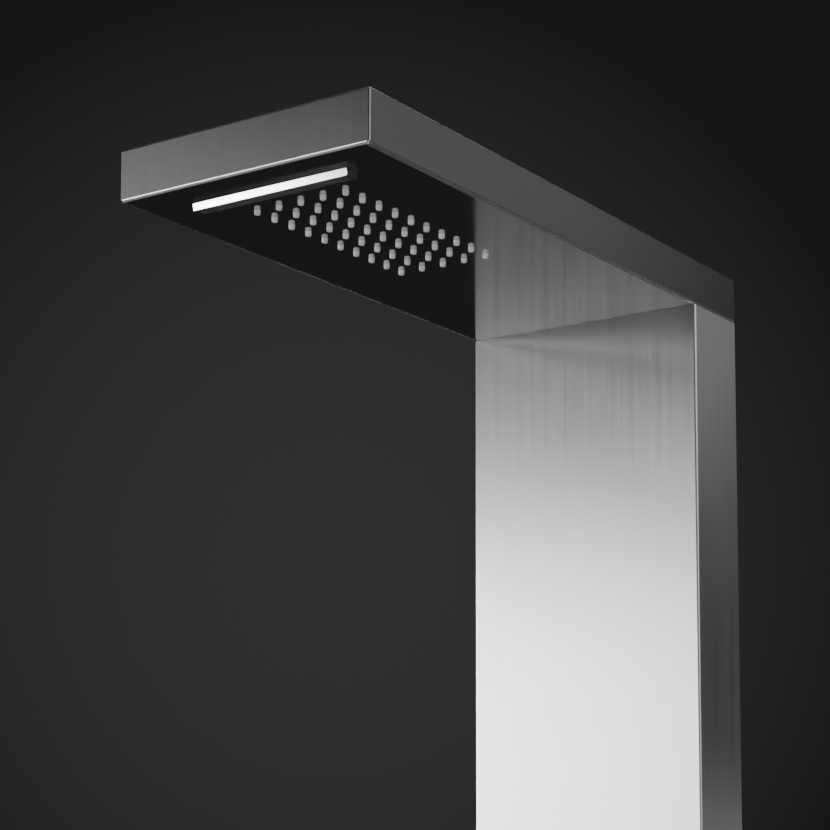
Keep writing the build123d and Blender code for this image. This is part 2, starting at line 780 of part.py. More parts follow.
def pipe_clips():
    """Spring clips that hold both risers against the sides of the column."""
    clips = []
    for s in (-1, 1):
        for z in (320.0, 620.0):
            clip = rod_z(hose_radius + 1.5, z - 8.0, z + 8.0, s * riser_x, riser_y)
            foot = sorted((s * (riser_x + 6.0), s * (half - sheet)))
            clip += block(*foot, riser_y - 6.0, riser_y + 6.0, z - 8.0, z + 8.0)
            clip -= rod_z(hose_radius, z - 8.0, z + 8.0, s * riser_x, riser_y)
            gap = sorted((s * (riser_x - 12.0), s * (riser_x - 4.0)))
            clip -= block(*gap, riser_y - 4.0, riser_y + 4.0, z - 8.0, z + 8.0)
            clips.append(clip)
    return clips


# ---- write every node ---------------------------------------------------------------------
os.makedirs("parts", exist_ok=True)

save("column_front", column_front())
save("column_sides", column_sides())
save("return_flanges", return_flanges())
save("base_cap", base_cap())
save("neck_frame", neck_frame())
save("neck_screws", neck_screws())
for label, height in (("upper", screw_spacing_z / 2), ("lower", -screw_spacing_z / 2)):
    save(f"hanger_bar_{label}", hanger_bar(height))
    save(f"wall_bracket_{label}", wall_bracket(height))

save("head_shell", head_shell())
save("head_plate", head_plate())
save("nozzle_mat", nozzle_mat())
save("rain_chamber", rain_chamber())
save("waterfall_lip", waterfall_lip())
save("waterfall_chamber", waterfall_chamber())
save("head_studs", head_studs())
save("head_nuts", head_nuts())

save("mixer_body", mixer_body())
save("diverter_body", diverter_body())
valve_parts = {
    "seal": valve_seal,
    "fixed_disc": fixed_disc,
    "moving_disc": moving_disc,
    "cartridge": cartridge_cup,
    "stem": valve_stem,
    "bonnet_nut": bonnet_nut,
    "trim_plate": trim_plate,
    "knob": knob,
    "grub_screw": grub_screw,
    "index_cap": index_cap,
}
for valve, height in (("mixer", mixer_z), ("diverter", diverter_z)):
    for part_name, make in valve_parts.items():
        save(f"{valve}_{part_name}", Pos(0, 0, height) * make())
save("link_pipe", link_pipe())
save("union_nuts", union_nuts())

for label, height in zip(("lower", "upper"), spray_heights):
    save(f"spray_housing_{label}", spray_housing(height, label == "lower"))
    save(f"spray_bar_{label}", spray_bar(height))
    save(f"spray_nozzles_{label}", spray_nozzles(height))
    save(f"spray_bezel_{label}", spray_bezel(height))
save("panel_studs", panel_studs())
save("panel_nuts", panel_nuts())

save("waterfall_hose", waterfall_hose())
save("rain_hose", rain_hose())
save("spray_feed_hose", spray_feed_hose())
save("spray_link_hose", spray_link_hose())
save("hose_clamps", hose_clamps())
save("pipe_clips", pipe_clips())
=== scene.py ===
import json
from math import cos, radians, sin, tau

import bmesh
import bpy
from mathutils import Matrix, Vector


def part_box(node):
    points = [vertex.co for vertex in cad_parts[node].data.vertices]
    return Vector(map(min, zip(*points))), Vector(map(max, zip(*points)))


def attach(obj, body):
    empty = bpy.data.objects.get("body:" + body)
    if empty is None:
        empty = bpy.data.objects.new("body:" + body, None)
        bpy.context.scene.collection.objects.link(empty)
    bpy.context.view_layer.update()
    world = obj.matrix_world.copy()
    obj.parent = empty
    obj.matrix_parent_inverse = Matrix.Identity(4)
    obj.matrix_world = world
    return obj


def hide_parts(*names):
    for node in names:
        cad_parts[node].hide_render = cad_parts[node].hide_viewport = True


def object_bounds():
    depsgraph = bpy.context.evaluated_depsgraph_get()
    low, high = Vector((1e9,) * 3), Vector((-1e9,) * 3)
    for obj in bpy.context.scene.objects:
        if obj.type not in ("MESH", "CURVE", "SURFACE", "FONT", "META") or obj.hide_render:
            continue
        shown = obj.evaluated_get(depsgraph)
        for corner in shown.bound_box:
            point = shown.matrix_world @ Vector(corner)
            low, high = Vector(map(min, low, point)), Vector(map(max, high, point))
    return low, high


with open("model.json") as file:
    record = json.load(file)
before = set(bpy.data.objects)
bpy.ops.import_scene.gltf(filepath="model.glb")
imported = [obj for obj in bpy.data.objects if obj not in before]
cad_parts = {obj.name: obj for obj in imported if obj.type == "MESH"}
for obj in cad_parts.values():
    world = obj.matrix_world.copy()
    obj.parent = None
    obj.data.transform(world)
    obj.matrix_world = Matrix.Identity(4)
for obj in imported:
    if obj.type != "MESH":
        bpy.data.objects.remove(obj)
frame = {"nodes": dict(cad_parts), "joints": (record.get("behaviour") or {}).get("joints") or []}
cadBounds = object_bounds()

scene = bpy.context.scene
jointAt = {j["name"]: Vector(j["pos_m"]) for j in frame["joints"]}


def middle(name):
    low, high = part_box(name)
    return (low + high) / 2


print("frame loaded:", len(frame["nodes"]), "nodes")

hair = 1e-5  # corners closer than this count as the same place

# camera, lights and floor
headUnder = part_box("head_plate")[0].z
wallSide = cadBounds[1].y

cameraSet = {
    "place": (0.819, wallSide - 1.4737, headUnder - 0.443),
    "turn": (96.217, 0.0, 34.005),
    "lens": 91.76,
    "shift": (-0.0357, 0.2951),
    "nearest": 0.05,
}

cameraData = bpy.data.cameras.new("camera")
cameraData.lens = cameraSet["lens"]
cameraData.sensor_width = 36.0
cameraData.shift_x, cameraData.shift_y = cameraSet["shift"]
cameraData.clip_start = cameraSet["nearest"]
camera = bpy.data.objects.new("camera", cameraData)
camera.location = cameraSet["place"]
camera.rotation_euler = [radians(a) for a in cameraSet["turn"]]
scene.collection.objects.link(camera)
scene.camera = camera

white, cool = (1.0, 1.0, 1.0), (0.96, 0.95, 1.0)

# name: where it stands, what it looks at, width, height, watts, tint
softboxes = {
    "frontLow": ((-3.51, -2.74, 0.64), (0, 0, 0.55), 3.2, 1.2, 164, white),
    "frontHigh": ((-3.7, -3.0, 2.0), (0, -0.2, 0.75), 2.4, 0.9, 4.5, cool),
    "rightFront": ((3.3, -0.9, 1.1), (0, -0.3, 0.6), 1.2, 1.9, 20, cool),
    "rightBack": ((1.88, 2.08, 1.75), (0.1, -0.1, 0.76), 1.2, 0.9, 0.7, cool),
    "rightSide": ((2.71, 1.12, 1.5), (0.1, -0.05, 0.7), 1.2, 0.6, 4.0, cool),
    "rightLow": ((1.7, 2.6, 0.1), (0.1, -0.05, 0.4), 2.0, 0.8, 1.4, cool),
    "frontRight": ((2.0, -2.4, -0.7), (0, -0.3, 0.5), 1.0, 1.0, 30, cool),
    "backHigh": ((-1.6, 2.6, 3.2), (0, 0, 0.0), 1.6, 1.6, 20, cool),
    "overhead": ((0.2, -0.9, 3.0), (0, -0.25, 0.78), 1.4, 1.4, 8, cool),
}


def addSoftbox(name, place, target, width, height, watts, tint):
    data = bpy.data.lights.new(name, "AREA")
    data.shape = "RECTANGLE"
    data.size, data.size_y = width, height
    data.energy = watts
    data.color = tint
    lamp = bpy.data.objects.new(name, data)
    lamp.location = place
    lamp.rotation_euler = (Vector(target) - Vector(place)).to_track_quat("-Z", "Y").to_euler()
    scene.collection.objects.link(lamp)


for name, settings in softboxes.items():
    addSoftbox(name, *settings)

floorSet = {"below": 0.75, "forward": 0.6, "radius": 2.6, "sides": 96, "colour": (0.62, 0.61, 0.59, 1)}
floorMesh = bpy.data.meshes.new("floor")
work = bmesh.new()
bmesh.ops.create_circle(work, cap_ends=True, segments=floorSet["sides"], radius=floorSet["radius"])
for point in work.verts:
    point.co += Vector((0, -floorSet["forward"], cadBounds[0].z - floorSet["below"]))
work.to_mesh(floorMesh)
work.free()
floor = bpy.data.objects.new("floor", floorMesh)
scene.collection.objects.link(floor)
print("camera, lights and floor ready")


# materials: small helpers for nodes, then groups that several finishes share
def addNode(tree, kind, inputs=None, **settings):
    made = tree.nodes.new(kind)
    for key, value in settings.items():
        setattr(made, key, value)
    for key, value in (inputs or {}).items():
        if isinstance(value, bpy.types.NodeSocket):
            tree.links.new(value, made.inputs[key])
        else:
            made.inputs[key].default_value = value
    return made


def calc(tree, operation, *values):
    return addNode(tree, "ShaderNodeMath", dict(enumerate(values)), operation=operation).outputs[0]


def stretch(tree, value, fromLow, fromHigh, toLow=0.0, toHigh=1.0):
    levels = {"From Min": fromLow, "From Max": fromHigh, "To Min": toLow, "To Max": toHigh}
    return addNode(tree, "ShaderNodeMapRange", {"Value": value, **levels}).outputs["Result"]


def newGroup(name, takes, gives):
    tree = bpy.data.node_groups.new(name, "ShaderNodeTree")
    for label, kind, value in takes:
        socket = tree.interface.new_socket(label, in_out="INPUT", socket_type="NodeSocket" + kind)
        if value is not None:
            socket.default_value = value
    for label in gives:
        tree.interface.new_socket(label, in_out="OUTPUT", socket_type="NodeSocketFloat")
    return tree, addNode(tree, "NodeGroupInput").outputs, addNode(tree, "NodeGroupOutput").inputs


def noise(tree, coords, scale, detail=2.0, rough=0.5):
    settings = {"Vector": coords, "Scale": scale, "Detail": detail, "Roughness": rough}
    return addNode(tree, "ShaderNodeTexNoise", settings).outputs["Fac"]


# brushed grain: fine scratches and broader streaks, both running along Y of the coordinates
tree, takes, gives = newGroup(
    "brushedGrain",
    [("Coords", "Vector", None), ("Across", "Float", 1500.0), ("Along", "Float", 14.0),
     ("Streak Across", "Float", 170.0), ("Streak Along", "Float", 1.6)],
    ["Fine", "Streaks"],
)
for label, across, along in (("Fine", "Across", "Along"), ("Streaks", "Streak Across", "Streak Along")):
    scale = addNode(tree, "ShaderNodeCombineXYZ", {"X": takes[across], "Y": takes[along], "Z": takes[across]})
    placed = addNode(
        tree, "ShaderNodeVectorMath", {0: takes["Coords"], 1: scale.outputs[0]}, operation="MULTIPLY"
    )
    grain = noise(tree, placed.outputs[0], 1.0, 3.0, 0.6)
    tree.links.new(stretch(tree, grain, 0.25, 0.75), gives[label])

# handling: cloudy smears and a few dried drops
tree, takes, gives = newGroup(
    "handling",
    [("Coords", "Vector", None), ("Smear Size", "Float", 9.0), ("Drop Size", "Float", 90.0),
     ("Drop Amount", "Float", 0.35)],
    ["Smears", "Drops"],
)
smears = noise(tree, takes["Coords"], takes["Smear Size"], 5.0, 0.6)
tree.links.new(stretch(tree, smears, 0.35, 0.7), gives["Smears"])
cells = addNode(tree, "ShaderNodeTexVoronoi", {"Vector": takes["Coords"], "Scale": takes["Drop Size"]})
ring = calc(tree, "SUBTRACT", cells.outputs["Distance"], 0.28)
ring = calc(tree, "ABSOLUTE", ring)
ring = stretch(tree, ring, 0.0, 0.07, 1.0, 0.0)
kept = addNode(tree, "ShaderNodeSeparateColor", {"Color": cells.outputs["Color"]})
kept = calc(tree, "LESS_THAN", kept.outputs[0], takes["Drop Amount"])
tree.links.new(calc(tree, "MULTIPLY", ring, kept), gives["Drops"])


# backdrop: almost black, with a soft pool of light low down behind the column
backdrop = {"dark": (0.0125, 0.0125, 0.0134, 1), "glow": (0.036, 0.0355, 0.038, 1),
            "ground": (0.019, 0.019, 0.02, 1), "centre": (-0.595, 0.789, 0.155), "spread": 15.0}
world = bpy.data.worlds.new("studio")
world.use_nodes = True
tree = world.node_tree
direction = addNode(tree, "ShaderNodeTexCoord").outputs["Generated"]
facing = addNode(tree, "ShaderNodeVectorMath", {0: direction, 1: backdrop["centre"]}, operation="DOT_PRODUCT")
pool = stretch(tree, facing.outputs["Value"], cos(radians(backdrop["spread"])), 1.0)
height = addNode(tree, "ShaderNodeSeparateXYZ", {"Vector": direction}).outputs["Z"]
below = stretch(tree, height, -0.1, -0.25)
base = addNode(
    tree, "ShaderNodeMix", {0: below, 6: backdrop["dark"], 7: backdrop["ground"]}, data_type="RGBA"
)
mix = addNode(tree, "ShaderNodeMix", {0: pool, 6: base.outputs[2], 7: backdrop["glow"]}, data_type="RGBA")
tree.links.new(mix.outputs[2], tree.nodes["Background"].inputs["Color"])
scene.world = world


def newMaterial(name, **shader):
    material = bpy.data.materials.new(name)
    material.use_nodes = True
    tree = material.node_tree
    surface = tree.nodes["Principled BSDF"]
    for key, value in shader.items():
        surface.inputs[key.replace("_", " ")].default_value = value
    return material, tree, surface


def useGroup(tree, name, **inputs):
    made = addNode(tree, "ShaderNodeGroup", node_tree=bpy.data.node_groups[name])
    for key, value in inputs.items():
        key = key.replace("_", " ")
        if isinstance(value, bpy.types.NodeSocket):
            tree.links.new(value, made.inputs[key])
        else:
            made.inputs[key].default_value = value
    return made.outputs


def blendColour(tree, factor, first, second):
    mix = addNode(tree, "ShaderNodeMix", {0: factor, 6: first, 7: second}, data_type="RGBA")
    return mix.outputs[2]


def addBump(tree, surface, height, strength, distance):
    bump = addNode(tree, "ShaderNodeBump", {"Height": height, "Strength": strength, "Distance": distance})
    tree.links.new(bump.outputs[0], surface.inputs["Normal"])


metalSet = {"streakShare": 0.55, "fineShare": 0.45, "markDulling": 0.02, "scratchDepth": 0.00004,
            "smearShade": 0.93, "waveScale": 14.0, "waveDepth": 0.001}


def brushedMetal(name, light, dark, roughness, spread, bump, anisotropy, grainMap=True, turn=(0, 0, 0)):
    material, tree, surface = newMaterial(name, Metallic=1.0, Anisotropic=anisotropy)
    if grainMap:  # U across the grain, V along it, in metres
        coords = addNode(tree, "ShaderNodeUVMap", uv_map="grain").outputs[0]
        along = addNode(tree, "ShaderNodeTangent", direction_type="UV_MAP", uv_map="grain")
        tree.links.new(along.outputs[0], surface.inputs["Tangent"])
    else:
        coords = addNode(tree, "ShaderNodeTexCoord").outputs["Object"]
        turned = addNode(tree, "ShaderNodeMapping", {"Vector": coords, "Rotation": turn})
        coords = turned.outputs[0]
    here = addNode(tree, "ShaderNodeTexCoord").outputs["Object"]
    grain = useGroup(tree, "brushedGrain", Coords=coords)
    marks = useGroup(tree, "handling", Coords=here)
    fine = calc(tree, "MULTIPLY", grain["Fine"], metalSet["fineShare"])
    shade = calc(tree, "MULTIPLY_ADD", grain["Streaks"], metalSet["streakShare"], fine)
    tree.links.new(blendColour(tree, shade, dark, light), surface.inputs["Base Color"])
    rough = calc(tree, "MULTIPLY_ADD", shade, spread, roughness - spread / 2)
    for mark in ("Smears", "Drops"):
        rough = calc(tree, "MULTIPLY_ADD", marks[mark], metalSet["markDulling"], rough)
    tree.links.new(rough, surface.inputs["Roughness"])
    addBump(tree, surface, grain["Fine"], bump, metalSet["scratchDepth"])
    return material


steelLight, steelDark = (0.63, 0.628, 0.632, 1), (0.56, 0.558, 0.562, 1)
brushedSteel = brushedMetal("brushedSteel", steelLight, steelDark, 0.31, 0.07, 0.2, 0.8)
brushedFlat = brushedMetal(
    "brushedFlat", steelLight, steelDark, 0.30, 0.07, 0.2, 0.6, grainMap=False, turn=(radians(90), 0, 0)
)


def mirrorMetal(name, colour, roughness, waviness, marksDepth, drops=0.2):
    material, tree, surface = newMaterial(name, Metallic=1.0)
    here = addNode(tree, "ShaderNodeTexCoord").outputs["Object"]
    marks = useGroup(tree, "handling", Coords=here, Drop_Amount=drops)
    darker = tuple(c * metalSet["smearShade"] for c in colour[:3]) + (1,)
    tree.links.new(blendColour(tree, marks["Smears"], colour, darker), surface.inputs["Base Color"])
    rough = calc(tree, "MULTIPLY_ADD", marks["Smears"], marksDepth, roughness)
    rough = calc(tree, "MULTIPLY_ADD", marks["Drops"], marksDepth, rough)
    tree.links.new(rough, surface.inputs["Roughness"])
    wave = noise(tree, here, metalSet["waveScale"], 1.0)
    addBump(tree, surface, wave, waviness, metalSet["waveDepth"])
    return material


polishedSteel = mirrorMetal("polishedSteel", (0.56, 0.56, 0.565, 1), 0.07, 0.02, 0.03)
brightLip = mirrorMetal("brightLip", (0.86, 0.86, 0.86, 1), 0.12, 0.01, 0.03)
chrome = mirrorMetal("chrome", (0.78, 0.79, 0.80, 1), 0.05, 0.01, 0.04)


def plainFinish(name, light, dark, roughness, spread, noiseScale, bump, depth, **shader):
    material, tree, surface = newMaterial(name, **shader)
    here = addNode(tree, "ShaderNodeTexCoord").outputs["Object"]
    fine = noise(tree, here, noiseScale, 4.0, 0.6)
    broad = stretch(tree, noise(tree, here, noiseScale / 40, 3.0), 0.3, 0.7)
    tree.links.new(blendColour(tree, broad, dark, light), surface.inputs["Base Color"])
    rough = calc(tree, "MULTIPLY_ADD", fine, spread, roughness - spread / 2)
    tree.links.new(rough, surface.inputs["Roughness"])
    addBump(tree, surface, fine, bump, depth)
    return material


silicone = plainFinish(
    "silicone", (0.80, 0.80, 0.81, 1), (0.72, 0.72, 0.73, 1), 0.3, 0.06, 2400, 0.06, 0.0001, IOR=1.6,
    Subsurface_Weight=0.4, Subsurface_Radius=(0.003, 0.003, 0.003),
)
moulding = plainFinish(
    "moulding", (0.62, 0.62, 0.60, 1), (0.56, 0.56, 0.54, 1), 0.42, 0.12, 1800, 0.3, 0.0001
)
hoseRubber = plainFinish(
    "hoseRubber", (0.045, 0.045, 0.048, 1), (0.028, 0.028, 0.03, 1), 0.48, 0.2, 1200, 0.25, 0.0001
)
sealRubber = plainFinish(
    "sealRubber", (0.03, 0.03, 0.03, 1), (0.018, 0.018, 0.018, 1), 0.6, 0.15, 1500, 0.2, 0.0001
)
ceramic = plainFinish("ceramic", (0.82, 0.80, 0.75, 1), (0.76, 0.74, 0.69, 1), 0.22, 0.08, 900, 0.05, 0.00005)
castBrass = plainFinish(
    "castBrass", (0.66, 0.49, 0.25, 1), (0.50, 0.36, 0.18, 1), 0.36, 0.2, 1100, 0.5, 0.0002, Metallic=1.0
)
turnedBrass = plainFinish(
    "turnedBrass", (0.74, 0.57, 0.30, 1), (0.66, 0.50, 0.26, 1), 0.24, 0.1, 2600, 0.2, 0.00005, Metallic=1.0
)
millSteel = plainFinish(
    "millSteel", (0.52, 0.52, 0.51, 1), (0.42, 0.42, 0.41, 1), 0.38, 0.14, 700, 0.2, 0.0001, Metallic=1.0
)
boltSteel = plainFinish(
    "boltSteel", (0.64, 0.63, 0.60, 1), (0.52, 0.51, 0.48, 1), 0.28, 0.14, 2000, 0.2, 0.00005, Metallic=1.0
)
darkInlay = plainFinish(
    "darkInlay", (0.02, 0.02, 0.022, 1), (0.012, 0.012, 0.013, 1), 0.18, 0.06, 900, 0.03, 0.00005
)
redInlay = plainFinish(
    "redInlay", (0.50, 0.02, 0.015, 1), (0.40, 0.015, 0.01, 1), 0.2, 0.06, 900, 0.03, 0.00005
)
blueInlay = plainFinish(
    "blueInlay", (0.02, 0.08, 0.45, 1), (0.015, 0.06, 0.36, 1), 0.2, 0.06, 900, 0.03, 0.00005
)
floorPaint = plainFinish("floorPaint", floorSet["colour"], floorSet["colour"], 0.6, 0.1, 60, 0.05, 0.0005)
floorMesh.materials.append(floorPaint)
print("materials ready:", len(bpy.data.materials))


# making and finishing pieces
def linkMesh(name, work, material=None):
    mesh = bpy.data.meshes.new(name)
    work.to_mesh(mesh)
    work.free()
    made = bpy.data.objects.new(name, mesh)
    scene.collection.objects.link(made)
    if material:
        mesh.materials.append(material)
    return made


def removeObject(thing):
    mesh = thing.data
    bpy.data.objects.remove(thing)
    if mesh and mesh.users == 0:
        bpy.data.meshes.remove(mesh)


def bake(source, name, smoothAngle=32.0):
    graph = bpy.context.evaluated_depsgraph_get()
    mesh = bpy.data.meshes.new_from_object(source.evaluated_get(graph), depsgraph=graph)
    mesh.name = name
    made = bpy.data.objects.new(name, mesh)
    scene.collection.objects.link(made)
    removeObject(source)
    if smoothAngle:
        mesh.shade_smooth()
        mesh.set_sharp_from_angle(angle=radians(smoothAngle))
    return made


def keepFlat(thing):  # broad faces stay flat and the small ones between them take the turn
    weighted = thing.modifiers.new("flatFaces", "WEIGHTED_NORMAL")
    weighted.weight = 80
    weighted.keep_sharp = True


def place(piece, body, slot, *nodes):
    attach(piece, body)
    if nodes:
        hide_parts(*nodes)
    return piece


def dress(material, *names):
    for name in names:
        mesh = frame["nodes"][name]
        if not mesh.material_slots:
            mesh.data.materials.append(material)
        for position in mesh.material_slots:
            position.material = material


def writeGrainMap(work, rule):
    layer = work.loops.layers.uv.new("grain")
    work.normal_update()
    for face in work.faces:
        for corner in face.loops:
            corner[layer].uv = rule(face.normal, corner.vert.co)


def headGrain(normal, point):
    x, y, z = (abs(n) for n in normal)
    if y > max(x, z):
        return point.x, point.z
    return (point.z, point.y) if x > z else (point.x, point.y)


def columnGrain(normal, point):
    across = point.x if abs(normal.y) >= abs(normal.x) else point.y
    return across, point.z


# head: a folded box of sheet, open below, its lower edges rolled inwards
headSet = {"fold": 0.0014, "lowFold": 0.0018, "foldSteps": 6, "sheet": 0.0012, "lip": 0.0019, "notch": 0.0015,
           "notchRise": 0.0017, "notchSide": 0.9925, "notchBack": 0.0008}


def foldedHead():
    low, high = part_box("head_shell")
    work = bmesh.new()
    weight = work.edges.layers.float.new("bevel_weight_edge")
    bmesh.ops.create_cube(work, size=1)
    for vert in work.verts:
        vert.co = [high[i] if vert.co[i] > 0 else low[i] for i in range(3)]
    bottom = min(work.faces, key=lambda face: face.calc_center_median().z)
    rolled = [  # every edge but the lower one at the wall
        e for e in work.edges if not all(v.co.y > high.y - hair and v.co.z < low.z + hair for v in e.verts)
    ]
    bmesh.ops.inset_region(work, faces=[bottom], thickness=headSet["lip"], use_even_offset=True)
    for vert in bottom.verts:
        if vert.co.y > middle("head_shell").y:
            vert.co.y = high.y - headSet["sheet"]
    bmesh.ops.delete(work, geom=[bottom], context="FACES_ONLY")
    for e in rolled:
        atBottom = all(v.co.z < low.z + hair for v in e.verts)
        e[weight] = 1.0 if atBottom else headSet["fold"] / headSet["lowFold"]
    folds = linkMesh("folds", work)
    rounded = folds.modifiers.new("folds", "BEVEL")
    rounded.limit_method = "WEIGHT"
    rounded.width, rounded.segments = headSet["lowFold"], headSet["foldSteps"]
    bpy.context.view_layer.update()
    folds = bake(folds, "headFolds", 0)
    work = bmesh.new()
    work.from_mesh(folds.data)
    removeObject(folds)
    writeGrainMap(work, headGrain)
    shell = linkMesh("headShell", work, brushedSteel)
    thick = shell.modifiers.new("sheet", "SOLIDIFY")
    thick.thickness = headSet["sheet"]
    thick.offset = -1
    thick.use_even_offset = True
    cutters = []
    for x in (low.x, high.x):  # relief notches where three folds meet
        cut = bmesh.new()
        bmesh.ops.create_cone(
            cut, cap_ends=True, segments=24, radius1=headSet["notch"], radius2=headSet["notch"],
            depth=2 * headSet["notchRise"],
        )
        cutter = linkMesh("cutter", cut)
        cutter.location = (x * headSet["notchSide"], low.y + headSet["notchBack"], low.z)
        cutters.append(cutter)
        difference = shell.modifiers.new("notch", "BOOLEAN")
        difference.object = cutter
    bpy.context.view_layer.update()
    shell = bake(shell, "headShell")
    for cutter in cutters:
        removeObject(cutter)
    keepFlat(shell)
    return shell


place(foldedHead(), "column", "brushed_stainless", "head_shell")
print("head folded")

# column: one folded channel with its strips at the wall, cut out for valves and sprays
columnSet = {"fold": 0.002, "rearFold": 0.0012, "foldSteps": 6, "sheet": 0.0012, "strip": 0.016,
             "topGap": 0.00035, "hole": 0.0235, "holeSides": 96, "sprayHalf": (0.0635, 0.0156),
             "cutHalf": 0.01}


def foldedColumn():
    low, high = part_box("column_front")[0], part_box("column_sides")[1]
    high.z -= columnSet["topGap"]
    strip = low.x + columnSet["strip"]
    outline = [
        (strip, high.y), (low.x, high.y), (low.x, low.y), (high.x, low.y), (high.x, high.y), (-strip, high.y)
    ]
    work = bmesh.new()
    rows = [[work.verts.new((x, y, z)) for x, y in outline] for z in (low.z, high.z)]
    for i in range(len(outline) - 1):
        work.faces.new((rows[0][i], rows[0][i + 1], rows[1][i + 1], rows[1][i]))
    bmesh.ops.recalc_face_normals(work, faces=work.faces)
    frontFace = min(work.faces, key=lambda face: face.calc_center_median().y)
    frontFace.normal_update()
    if frontFace.normal.y > 0:
        bmesh.ops.reverse_faces(work, faces=work.faces)
    for y, fold in ((low.y, columnSet["fold"]), (high.y, columnSet["rearFold"])):
        corners = [
            e for e in work.edges
            if all(abs(v.co.y - y) < hair and abs(abs(v.co.x) - high.x) < hair for v in e.verts)
            and abs(e.verts[0].co.z - e.verts[1].co.z) > hair
        ]
        bmesh.ops.bevel(
            work, geom=corners, offset=fold, segments=columnSet["foldSteps"], profile=0.5, affect="EDGES"
        )
    writeGrainMap(work, columnGrain)
    shell = linkMesh("columnShell", work, brushedSteel)
    thick = shell.modifiers.new("sheet", "SOLIDIFY")
    thick.thickness = columnSet["sheet"]
    thick.offset = -1
    thick.use_even_offset = True
    cutters = []
    for joint in ("mixer_turn", "diverter_turn"):
        cut = bmesh.new()
        bmesh.ops.create_cone(
            cut, cap_ends=True, segments=columnSet["holeSides"], radius1=columnSet["hole"],
            radius2=columnSet["hole"], depth=2 * columnSet["cutHalf"],
        )
        cutters.append(linkMesh("cutter", cut))
        cutters[-1].rotation_euler = (radians(90), 0, 0)
        cutters[-1].location = (jointAt[joint].x, low.y, jointAt[joint].z)
    halfWide, halfHigh = columnSet["sprayHalf"]
    for joint in ("spray_tilt_lower", "spray_tilt_upper"):
        cut = bmesh.new()
        bmesh.ops.create_cube(cut, size=1)
        for vert in cut.verts:
            vert.co = vert.co * 2 * Vector((halfWide, columnSet["cutHalf"], halfHigh))
        cutters.append(linkMesh("cutter", cut))
        cutters[-1].location = (0, low.y, jointAt[joint].z)
    for cutter in cutters:
        difference = shell.modifiers.new("hole", "BOOLEAN")
        difference.object = cutter
    bpy.context.view_layer.update()
    shell = bake(shell, "columnShell")
    for cutter in cutters:
        removeObject(cutter)
    keepFlat(shell)
    return shell


place(foldedColumn(), "column", "brushed_stainless", "column_front", "column_sides", "return_flanges")
print("column folded")


# geometry nodes: each tree has named inputs and ends in realised copies with a material
def newTree(name, takes):
    tree = bpy.data.node_groups.new(name, "GeometryNodeTree")
    tree.interface.new_socket("Geometry", in_out="INPUT", socket_type="NodeSocketGeometry")
    for label, kind, value in takes:
        socket = tree.interface.new_socket(label, in_out="INPUT", socket_type="NodeSocket" + kind)
        if value is not None:
            socket.default_value = value
    tree.interface.new_socket("Geometry", in_out="OUTPUT", socket_type="NodeSocketGeometry")
    return tree, addNode(tree, "NodeGroupInput").outputs


def endTree(tree, shape, material):
    whole = addNode(tree, "GeometryNodeRealizeInstances", {"Geometry": shape})
    painted = addNode(tree, "GeometryNodeSetMaterial", {"Geometry": whole.outputs[0], "Material": material})
    addNode(tree, "NodeGroupOutput", {"Geometry": painted.outputs[0]})


def runTree(tree, name, host=None, smoothAngle=32.0, **values):
    if host is None:
        host = linkMesh("host", bmesh.new())
    modifier = host.modifiers.new(name, "NODES")
    modifier.node_group = tree
    named = {s.name: s.identifier for s in tree.interface.items_tree if s.in_out == "INPUT"}
    for key, value in values.items():
        modifier[named[key.replace("_", " ")]] = value
    bpy.context.view_layer.update()
    return bake(host, name, smoothAngle)


def joinTo(main, *others):
    chosen = [main, *others]
    with bpy.context.temp_override(
        active_object=main, object=main, selected_objects=chosen, selected_editable_objects=chosen
    ):
        bpy.ops.object.join()
    return main


# a grid of copies of one source, in a plane that is then turned and placed
gridOfCopies, takes = newTree(
    "gridOfCopies",
    [("Source", "Object", None), ("Columns", "Int", 5), ("Rows", "Int", 10), ("Pitch Across", "Float", 0.018),
     ("Pitch Along", "Float", 0.018), ("Centre", "Vector", None), ("Turn", "Vector", None),
     ("Finish", "Material", None)],
)
tree = gridOfCopies
sizes = []
for count, pitch in (("Columns", "Pitch Across"), ("Rows", "Pitch Along")):
    gaps = calc(tree, "SUBTRACT", takes[count], 1.0)
    sizes.append(calc(tree, "MULTIPLY", gaps, takes[pitch]))
grid = addNode(
    tree, "GeometryNodeMeshGrid",
    {"Size X": sizes[0], "Size Y": sizes[1], "Vertices X": takes["Columns"], "Vertices Y": takes["Rows"]},
)
source = addNode(tree, "GeometryNodeObjectInfo", {"Object": takes["Source"]})
copies = addNode(
    tree, "GeometryNodeInstanceOnPoints",
    {"Points": grid.outputs["Mesh"], "Instance": source.outputs["Geometry"]},
)
placed = addNode(
    tree, "GeometryNodeTransform",
    {"Geometry": copies.outputs[0], "Translation": takes["Centre"], "Rotation": takes["Turn"]},
)
endTree(tree, placed.outputs[0], takes["Finish"])

# copies round a circle or part of one, each facing outwards
ringOfCopies, takes = newTree(
    "ringOfCopies",
    [("Source", "Object", None), ("Count", "Int", 24), ("Radius", "Float", 0.02), ("Start", "Float", 0.0),
     ("Sweep", "Float", tau), ("Centre", "Vector", None), ("Turn", "Vector", None),
     ("Finish", "Material", None)],
)
tree = ringOfCopies
index = addNode(tree, "GeometryNodeInputIndex").outputs[0]
step = calc(tree, "DIVIDE", takes["Sweep"], takes["Count"])
angle = calc(tree, "MULTIPLY_ADD", index, step, takes["Start"])
across = calc(tree, "MULTIPLY", calc(tree, "COSINE", angle), takes["Radius"])
up = calc(tree, "MULTIPLY", calc(tree, "SINE", angle), takes["Radius"])
spot = addNode(tree, "ShaderNodeCombineXYZ", {"X": across, "Y": up})
points = addNode(tree, "GeometryNodePoints", {"Count": takes["Count"], "Position": spot.outputs[0]})
source = addNode(tree, "GeometryNodeObjectInfo", {"Object": takes["Source"]})
